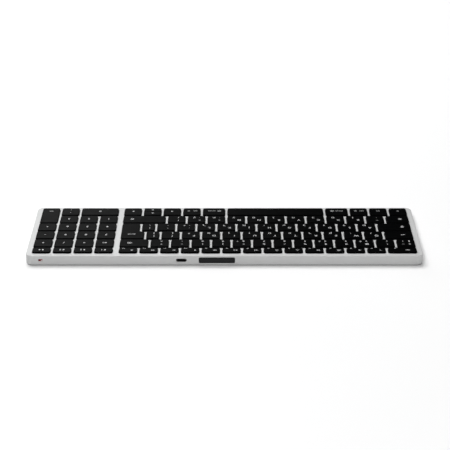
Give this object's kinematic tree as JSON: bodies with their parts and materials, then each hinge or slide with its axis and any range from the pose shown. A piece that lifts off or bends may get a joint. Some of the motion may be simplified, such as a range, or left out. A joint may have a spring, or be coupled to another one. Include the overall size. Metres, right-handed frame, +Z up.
{
  "type": "keyboard with numeric keypad",
  "caption": "Slim wireless full-width keyboard with an integrated numeric keypad block, low-profile square keys in a one-piece sloping metal case, rear power switch and charging socket.",
  "frame": {"origin": "on the desk plane, under the middle of the case outline", "axes": "+X to the typist's right (the keypad end), +Y to the rear edge with the socket and switch, +Z up"},
  "size_m": [0.364, 0.1162, 0.0112],
  "materials": {
    "case_aluminium": "fine bead-blasted and clear anodised",
    "key_plastic": "satin moulded plastic with white printed legends",
    "cover_plastic": "fine textured",
    "foot_rubber": "matte",
    "screw_steel": "zinc plated",
    "plate_steel": "stamped sheet",
    "membrane_film": "printed polyester film",
    "dome_rubber": "silicone",
    "lever_plastic": "moulded acetal",
    "wire_steel": "drawn wire",
    "board_laminate": "solder mask",
    "battery_foil": "foil pouch",
    "lead_sheath": "satin sheath",
    "socket_steel": "dark nickel",
    "window_plastic": "satin, radio transparent",
    "switch_plastic": "moulded, dark red",
    "slider_plastic": "moulded, pale grey",
    "light_pipe": "smoked translucent"
  },
  "bodies": {
    "case": {"antenna_window": "window_plastic", "battery_lead": "lead_sheath", "battery_pack": "battery_foil", "bottom_cover": "cover_plastic", "case_screws": "screw_steel", "controller_board": "board_laminate", "membrane_circuit": "membrane_film", "plate_screws": "screw_steel", "power_switch_housing": "switch_plastic", "rubber_domes": "dome_rubber", "rubber_feet": "foot_rubber", "scissor_inner_levers": "lever_plastic", "scissor_outer_levers": "lever_plastic", "stabiliser_bars": "wire_steel", "status_light_pipes": "light_pipe", "support_plate": "plate_steel", "top_case": "case_aluminium", "usb_c_receptacle": "socket_steel"},
    "caps_lock_key": {"caps_lock_key": "key_plastic"},
    "delete_key": {"delete_key": "key_plastic"},
    "down_arrow_key": {"down_arrow_key": "key_plastic"},
    "escape_key": {"escape_key": "key_plastic"},
    "function_keys": {"function_keys": "key_plastic"},
    "home_letter_keys": {"home_letter_keys": "key_plastic"},
    "keypad_0_key": {"keypad_0_key": "key_plastic"},
    "keypad_1_key": {"keypad_1_key": "key_plastic"},
    "keypad_2_key": {"keypad_2_key": "key_plastic"},
    "keypad_3_key": {"keypad_3_key": "key_plastic"},
    "keypad_4_key": {"keypad_4_key": "key_plastic"},
    "keypad_5_key": {"keypad_5_key": "key_plastic"},
    "keypad_6_key": {"keypad_6_key": "key_plastic"},
    "keypad_7_key": {"keypad_7_key": "key_plastic"},
    "keypad_8_key": {"keypad_8_key": "key_plastic"},
    "keypad_9_key": {"keypad_9_key": "key_plastic"},
    "keypad_clear_key": {"keypad_clear_key": "key_plastic"},
    "keypad_decimal_key": {"keypad_decimal_key": "key_plastic"},
    "keypad_divide_key": {"keypad_divide_key": "key_plastic"},
    "keypad_enter_key": {"keypad_enter_key": "key_plastic"},
    "keypad_equals_key": {"keypad_equals_key": "key_plastic"},
    "keypad_function_1_key": {"keypad_function_1_key": "key_plastic"},
    "keypad_function_2_key": {"keypad_function_2_key": "key_plastic"},
    "keypad_function_3_key": {"keypad_function_3_key": "key_plastic"},
    "keypad_function_4_key": {"keypad_function_4_key": "key_plastic"},
    "keypad_minus_key": {"keypad_minus_key": "key_plastic"},
    "keypad_multiply_key": {"keypad_multiply_key": "key_plastic"},
    "keypad_plus_key": {"keypad_plus_key": "key_plastic"},
    "left_arrow_key": {"left_arrow_key": "key_plastic"},
    "left_modifier_keys": {"left_modifier_keys": "key_plastic"},
    "left_shift_key": {"left_shift_key": "key_plastic"},
    "lower_letter_keys": {"lower_letter_keys": "key_plastic"},
    "number_row_keys": {"number_row_keys": "key_plastic"},
    "return_key": {"return_key": "key_plastic"},
    "right_arrow_key": {"right_arrow_key": "key_plastic"},
    "right_modifier_keys": {"right_modifier_keys": "key_plastic"},
    "right_shift_key": {"right_shift_key": "key_plastic"},
    "space_bar": {"space_bar": "key_plastic"},
    "tab_key": {"tab_key": "key_plastic"},
    "up_arrow_key": {"up_arrow_key": "key_plastic"},
    "upper_letter_keys": {"upper_letter_keys": "key_plastic"},
    "power_slider": {"power_slider": "slider_plastic"}
  },
  "joints": [
    {"name": "caps_lock_key_press", "type": "slide", "parent": "case", "child": "caps_lock_key", "axis": [0, 0.0349, -0.9994], "range_m": [0, 0.0014], "stiffness_N_per_m": 350, "springref_m": -0.0006, "deforming": ["rubber_domes", "scissor_outer_levers", "scissor_inner_levers", "stabiliser_bars"]},
    {"name": "delete_key_press", "type": "slide", "parent": "case", "child": "delete_key", "axis": [0, 0.0349, -0.9994], "range_m": [0, 0.0014], "stiffness_N_per_m": 350, "springref_m": -0.0006, "deforming": ["rubber_domes", "scissor_outer_levers", "scissor_inner_levers", "stabiliser_bars"]},
    {"name": "down_arrow_key_press", "type": "slide", "parent": "case", "child": "down_arrow_key", "axis": [0, 0.0349, -0.9994], "range_m": [0, 0.0014], "stiffness_N_per_m": 350, "springref_m": -0.0006, "deforming": ["rubber_domes", "scissor_outer_levers", "scissor_inner_levers", "stabiliser_bars"]},
    {"name": "escape_key_press", "type": "slide", "parent": "case", "child": "escape_key", "axis": [0, 0.0349, -0.9994], "range_m": [0, 0.0014], "stiffness_N_per_m": 350, "springref_m": -0.0006, "deforming": ["rubber_domes", "scissor_outer_levers", "scissor_inner_levers", "stabiliser_bars"]},
    {"name": "function_keys_press", "type": "slide", "parent": "case", "child": "function_keys", "axis": [0, 0.0349, -0.9994], "range_m": [0, 0.0014], "stiffness_N_per_m": 350, "springref_m": -0.0006, "deforming": ["rubber_domes", "scissor_outer_levers", "scissor_inner_levers", "stabiliser_bars"]},
    {"name": "home_letter_keys_press", "type": "slide", "parent": "case", "child": "home_letter_keys", "axis": [0, 0.0349, -0.9994], "range_m": [0, 0.0014], "stiffness_N_per_m": 350, "springref_m": -0.0006, "deforming": ["rubber_domes", "scissor_outer_levers", "scissor_inner_levers", "stabiliser_bars"]},
    {"name": "keypad_0_key_press", "type": "slide", "parent": "case", "child": "keypad_0_key", "axis": [0, 0.0349, -0.9994], "range_m": [0, 0.0014], "stiffness_N_per_m": 350, "springref_m": -0.0006, "deforming": ["rubber_domes", "scissor_outer_levers", "scissor_inner_levers", "stabiliser_bars"]},
    {"name": "keypad_1_key_press", "type": "slide", "parent": "case", "child": "keypad_1_key", "axis": [0, 0.0349, -0.9994], "range_m": [0, 0.0014], "stiffness_N_per_m": 350, "springref_m": -0.0006, "deforming": ["rubber_domes", "scissor_outer_levers", "scissor_inner_levers", "stabiliser_bars"]},
    {"name": "keypad_2_key_press", "type": "slide", "parent": "case", "child": "keypad_2_key", "axis": [0, 0.0349, -0.9994], "range_m": [0, 0.0014], "stiffness_N_per_m": 350, "springref_m": -0.0006, "deforming": ["rubber_domes", "scissor_outer_levers", "scissor_inner_levers", "stabiliser_bars"]},
    {"name": "keypad_3_key_press", "type": "slide", "parent": "case", "child": "keypad_3_key", "axis": [0, 0.0349, -0.9994], "range_m": [0, 0.0014], "stiffness_N_per_m": 350, "springref_m": -0.0006, "deforming": ["rubber_domes", "scissor_outer_levers", "scissor_inner_levers", "stabiliser_bars"]},
    {"name": "keypad_4_key_press", "type": "slide", "parent": "case", "child": "keypad_4_key", "axis": [0, 0.0349, -0.9994], "range_m": [0, 0.0014], "stiffness_N_per_m": 350, "springref_m": -0.0006, "deforming": ["rubber_domes", "scissor_outer_levers", "scissor_inner_levers", "stabiliser_bars"]},
    {"name": "keypad_5_key_press", "type": "slide", "parent": "case", "child": "keypad_5_key", "axis": [0, 0.0349, -0.9994], "range_m": [0, 0.0014], "stiffness_N_per_m": 350, "springref_m": -0.0006, "deforming": ["rubber_domes", "scissor_outer_levers", "scissor_inner_levers", "stabiliser_bars"]},
    {"name": "keypad_6_key_press", "type": "slide", "parent": "case", "child": "keypad_6_key", "axis": [0, 0.0349, -0.9994], "range_m": [0, 0.0014], "stiffness_N_per_m": 350, "springref_m": -0.0006, "deforming": ["rubber_domes", "scissor_outer_levers", "scissor_inner_levers", "stabiliser_bars"]},
    {"name": "keypad_7_key_press", "type": "slide", "parent": "case", "child": "keypad_7_key", "axis": [0, 0.0349, -0.9994], "range_m": [0, 0.0014], "stiffness_N_per_m": 350, "springref_m": -0.0006, "deforming": ["rubber_domes", "scissor_outer_levers", "scissor_inner_levers", "stabiliser_bars"]},
    {"name": "keypad_8_key_press", "type": "slide", "parent": "case", "child": "keypad_8_key", "axis": [0, 0.0349, -0.9994], "range_m": [0, 0.0014], "stiffness_N_per_m": 350, "springref_m": -0.0006, "deforming": ["rubber_domes", "scissor_outer_levers", "scissor_inner_levers", "stabiliser_bars"]},
    {"name": "keypad_9_key_press", "type": "slide", "parent": "case", "child": "keypad_9_key", "axis": [0, 0.0349, -0.9994], "range_m": [0, 0.0014], "stiffness_N_per_m": 350, "springref_m": -0.0006, "deforming": ["rubber_domes", "scissor_outer_levers", "scissor_inner_levers", "stabiliser_bars"]},
    {"name": "keypad_clear_key_press", "type": "slide", "parent": "case", "child": "keypad_clear_key", "axis": [0, 0.0349, -0.9994], "range_m": [0, 0.0014], "stiffness_N_per_m": 350, "springref_m": -0.0006, "deforming": ["rubber_domes", "scissor_outer_levers", "scissor_inner_levers", "stabiliser_bars"]},
    {"name": "keypad_decimal_key_press", "type": "slide", "parent": "case", "child": "keypad_decimal_key", "axis": [0, 0.0349, -0.9994], "range_m": [0, 0.0014], "stiffness_N_per_m": 350, "springref_m": -0.0006, "deforming": ["rubber_domes", "scissor_outer_levers", "scissor_inner_levers", "stabiliser_bars"]},
    {"name": "keypad_divide_key_press", "type": "slide", "parent": "case", "child": "keypad_divide_key", "axis": [0, 0.0349, -0.9994], "range_m": [0, 0.0014], "stiffness_N_per_m": 350, "springref_m": -0.0006, "deforming": ["rubber_domes", "scissor_outer_levers", "scissor_inner_levers", "stabiliser_bars"]},
    {"name": "keypad_enter_key_press", "type": "slide", "parent": "case", "child": "keypad_enter_key", "axis": [0, 0.0349, -0.9994], "range_m": [0, 0.0014], "stiffness_N_per_m": 350, "springref_m": -0.0006, "deforming": ["rubber_domes", "scissor_outer_levers", "scissor_inner_levers", "stabiliser_bars"]},
    {"name": "keypad_equals_key_press", "type": "slide", "parent": "case", "child": "keypad_equals_key", "axis": [0, 0.0349, -0.9994], "range_m": [0, 0.0014], "stiffness_N_per_m": 350, "springref_m": -0.0006, "deforming": ["rubber_domes", "scissor_outer_levers", "scissor_inner_levers", "stabiliser_bars"]},
    {"name": "keypad_function_1_key_press", "type": "slide", "parent": "case", "child": "keypad_function_1_key", "axis": [0, 0.0349, -0.9994], "range_m": [0, 0.0014], "stiffness_N_per_m": 350, "springref_m": -0.0006, "deforming": ["rubber_domes", "scissor_outer_levers", "scissor_inner_levers", "stabiliser_bars"]},
    {"name": "keypad_function_2_key_press", "type": "slide", "parent": "case", "child": "keypad_function_2_key", "axis": [0, 0.0349, -0.9994], "range_m": [0, 0.0014], "stiffness_N_per_m": 350, "springref_m": -0.0006, "deforming": ["rubber_domes", "scissor_outer_levers", "scissor_inner_levers", "stabiliser_bars"]},
    {"name": "keypad_function_3_key_press", "type": "slide", "parent": "case", "child": "keypad_function_3_key", "axis": [0, 0.0349, -0.9994], "range_m": [0, 0.0014], "stiffness_N_per_m": 350, "springref_m": -0.0006, "deforming": ["rubber_domes", "scissor_outer_levers", "scissor_inner_levers", "stabiliser_bars"]},
    {"name": "keypad_function_4_key_press", "type": "slide", "parent": "case", "child": "keypad_function_4_key", "axis": [0, 0.0349, -0.9994], "range_m": [0, 0.0014], "stiffness_N_per_m": 350, "springref_m": -0.0006, "deforming": ["rubber_domes", "scissor_outer_levers", "scissor_inner_levers", "stabiliser_bars"]},
    {"name": "keypad_minus_key_press", "type": "slide", "parent": "case", "child": "keypad_minus_key", "axis": [0, 0.0349, -0.9994], "range_m": [0, 0.0014], "stiffness_N_per_m": 350, "springref_m": -0.0006, "deforming": ["rubber_domes", "scissor_outer_levers", "scissor_inner_levers", "stabiliser_bars"]},
    {"name": "keypad_multiply_key_press", "type": "slide", "parent": "case", "child": "keypad_multiply_key", "axis": [0, 0.0349, -0.9994], "range_m": [0, 0.0014], "stiffness_N_per_m": 350, "springref_m": -0.0006, "deforming": ["rubber_domes", "scissor_outer_levers", "scissor_inner_levers", "stabiliser_bars"]},
    {"name": "keypad_plus_key_press", "type": "slide", "parent": "case", "child": "keypad_plus_key", "axis": [0, 0.0349, -0.9994], "range_m": [0, 0.0014], "stiffness_N_per_m": 350, "springref_m": -0.0006, "deforming": ["rubber_domes", "scissor_outer_levers", "scissor_inner_levers", "stabiliser_bars"]},
    {"name": "left_arrow_key_press", "type": "slide", "parent": "case", "child": "left_arrow_key", "axis": [0, 0.0349, -0.9994], "range_m": [0, 0.0014], "stiffness_N_per_m": 350, "springref_m": -0.0006, "deforming": ["rubber_domes", "scissor_outer_levers", "scissor_inner_levers", "stabiliser_bars"]},
    {"name": "left_modifier_keys_press", "type": "slide", "parent": "case", "child": "left_modifier_keys", "axis": [0, 0.0349, -0.9994], "range_m": [0, 0.0014], "stiffness_N_per_m": 350, "springref_m": -0.0006, "deforming": ["rubber_domes", "scissor_outer_levers", "scissor_inner_levers", "stabiliser_bars"]},
    {"name": "left_shift_key_press", "type": "slide", "parent": "case", "child": "left_shift_key", "axis": [0, 0.0349, -0.9994], "range_m": [0, 0.0014], "stiffness_N_per_m": 350, "springref_m": -0.0006, "deforming": ["rubber_domes", "scissor_outer_levers", "scissor_inner_levers", "stabiliser_bars"]},
    {"name": "lower_letter_keys_press", "type": "slide", "parent": "case", "child": "lower_letter_keys", "axis": [0, 0.0349, -0.9994], "range_m": [0, 0.0014], "stiffness_N_per_m": 350, "springref_m": -0.0006, "deforming": ["rubber_domes", "scissor_outer_levers", "scissor_inner_levers", "stabiliser_bars"]},
    {"name": "number_row_keys_press", "type": "slide", "parent": "case", "child": "number_row_keys", "axis": [0, 0.0349, -0.9994], "range_m": [0, 0.0014], "stiffness_N_per_m": 350, "springref_m": -0.0006, "deforming": ["rubber_domes", "scissor_outer_levers", "scissor_inner_levers", "stabiliser_bars"]},
    {"name": "return_key_press", "type": "slide", "parent": "case", "child": "return_key", "axis": [0, 0.0349, -0.9994], "range_m": [0, 0.0014], "stiffness_N_per_m": 350, "springref_m": -0.0006, "deforming": ["rubber_domes", "scissor_outer_levers", "scissor_inner_levers", "stabiliser_bars"]},
    {"name": "right_arrow_key_press", "type": "slide", "parent": "case", "child": "right_arrow_key", "axis": [0, 0.0349, -0.9994], "range_m": [0, 0.0014], "stiffness_N_per_m": 350, "springref_m": -0.0006, "deforming": ["rubber_domes", "scissor_outer_levers", "scissor_inner_levers", "stabiliser_bars"]},
    {"name": "right_modifier_keys_press", "type": "slide", "parent": "case", "child": "right_modifier_keys", "axis": [0, 0.0349, -0.9994], "range_m": [0, 0.0014], "stiffness_N_per_m": 350, "springref_m": -0.0006, "deforming": ["rubber_domes", "scissor_outer_levers", "scissor_inner_levers", "stabiliser_bars"]},
    {"name": "right_shift_key_press", "type": "slide", "parent": "case", "child": "right_shift_key", "axis": [0, 0.0349, -0.9994], "range_m": [0, 0.0014], "stiffness_N_per_m": 350, "springref_m": -0.0006, "deforming": ["rubber_domes", "scissor_outer_levers", "scissor_inner_levers", "stabiliser_bars"]},
    {"name": "space_bar_press", "type": "slide", "parent": "case", "child": "space_bar", "axis": [0, 0.0349, -0.9994], "range_m": [0, 0.0014], "stiffness_N_per_m": 350, "springref_m": -0.0006, "deforming": ["rubber_domes", "scissor_outer_levers", "scissor_inner_levers", "stabiliser_bars"]},
    {"name": "tab_key_press", "type": "slide", "parent": "case", "child": "tab_key", "axis": [0, 0.0349, -0.9994], "range_m": [0, 0.0014], "stiffness_N_per_m": 350, "springref_m": -0.0006, "deforming": ["rubber_domes", "scissor_outer_levers", "scissor_inner_levers", "stabiliser_bars"]},
    {"name": "up_arrow_key_press", "type": "slide", "parent": "case", "child": "up_arrow_key", "axis": [0, 0.0349, -0.9994], "range_m": [0, 0.0014], "stiffness_N_per_m": 350, "springref_m": -0.0006, "deforming": ["rubber_domes", "scissor_outer_levers", "scissor_inner_levers", "stabiliser_bars"]},
    {"name": "upper_letter_keys_press", "type": "slide", "parent": "case", "child": "upper_letter_keys", "axis": [0, 0.0349, -0.9994], "range_m": [0, 0.0014], "stiffness_N_per_m": 350, "springref_m": -0.0006, "deforming": ["rubber_domes", "scissor_outer_levers", "scissor_inner_levers", "stabiliser_bars"]},
    {"name": "power_slide", "type": "slide", "parent": "case", "child": "power_slider", "axis": [1, 0, 0], "range_m": [0, 0.002]}
  ]
}
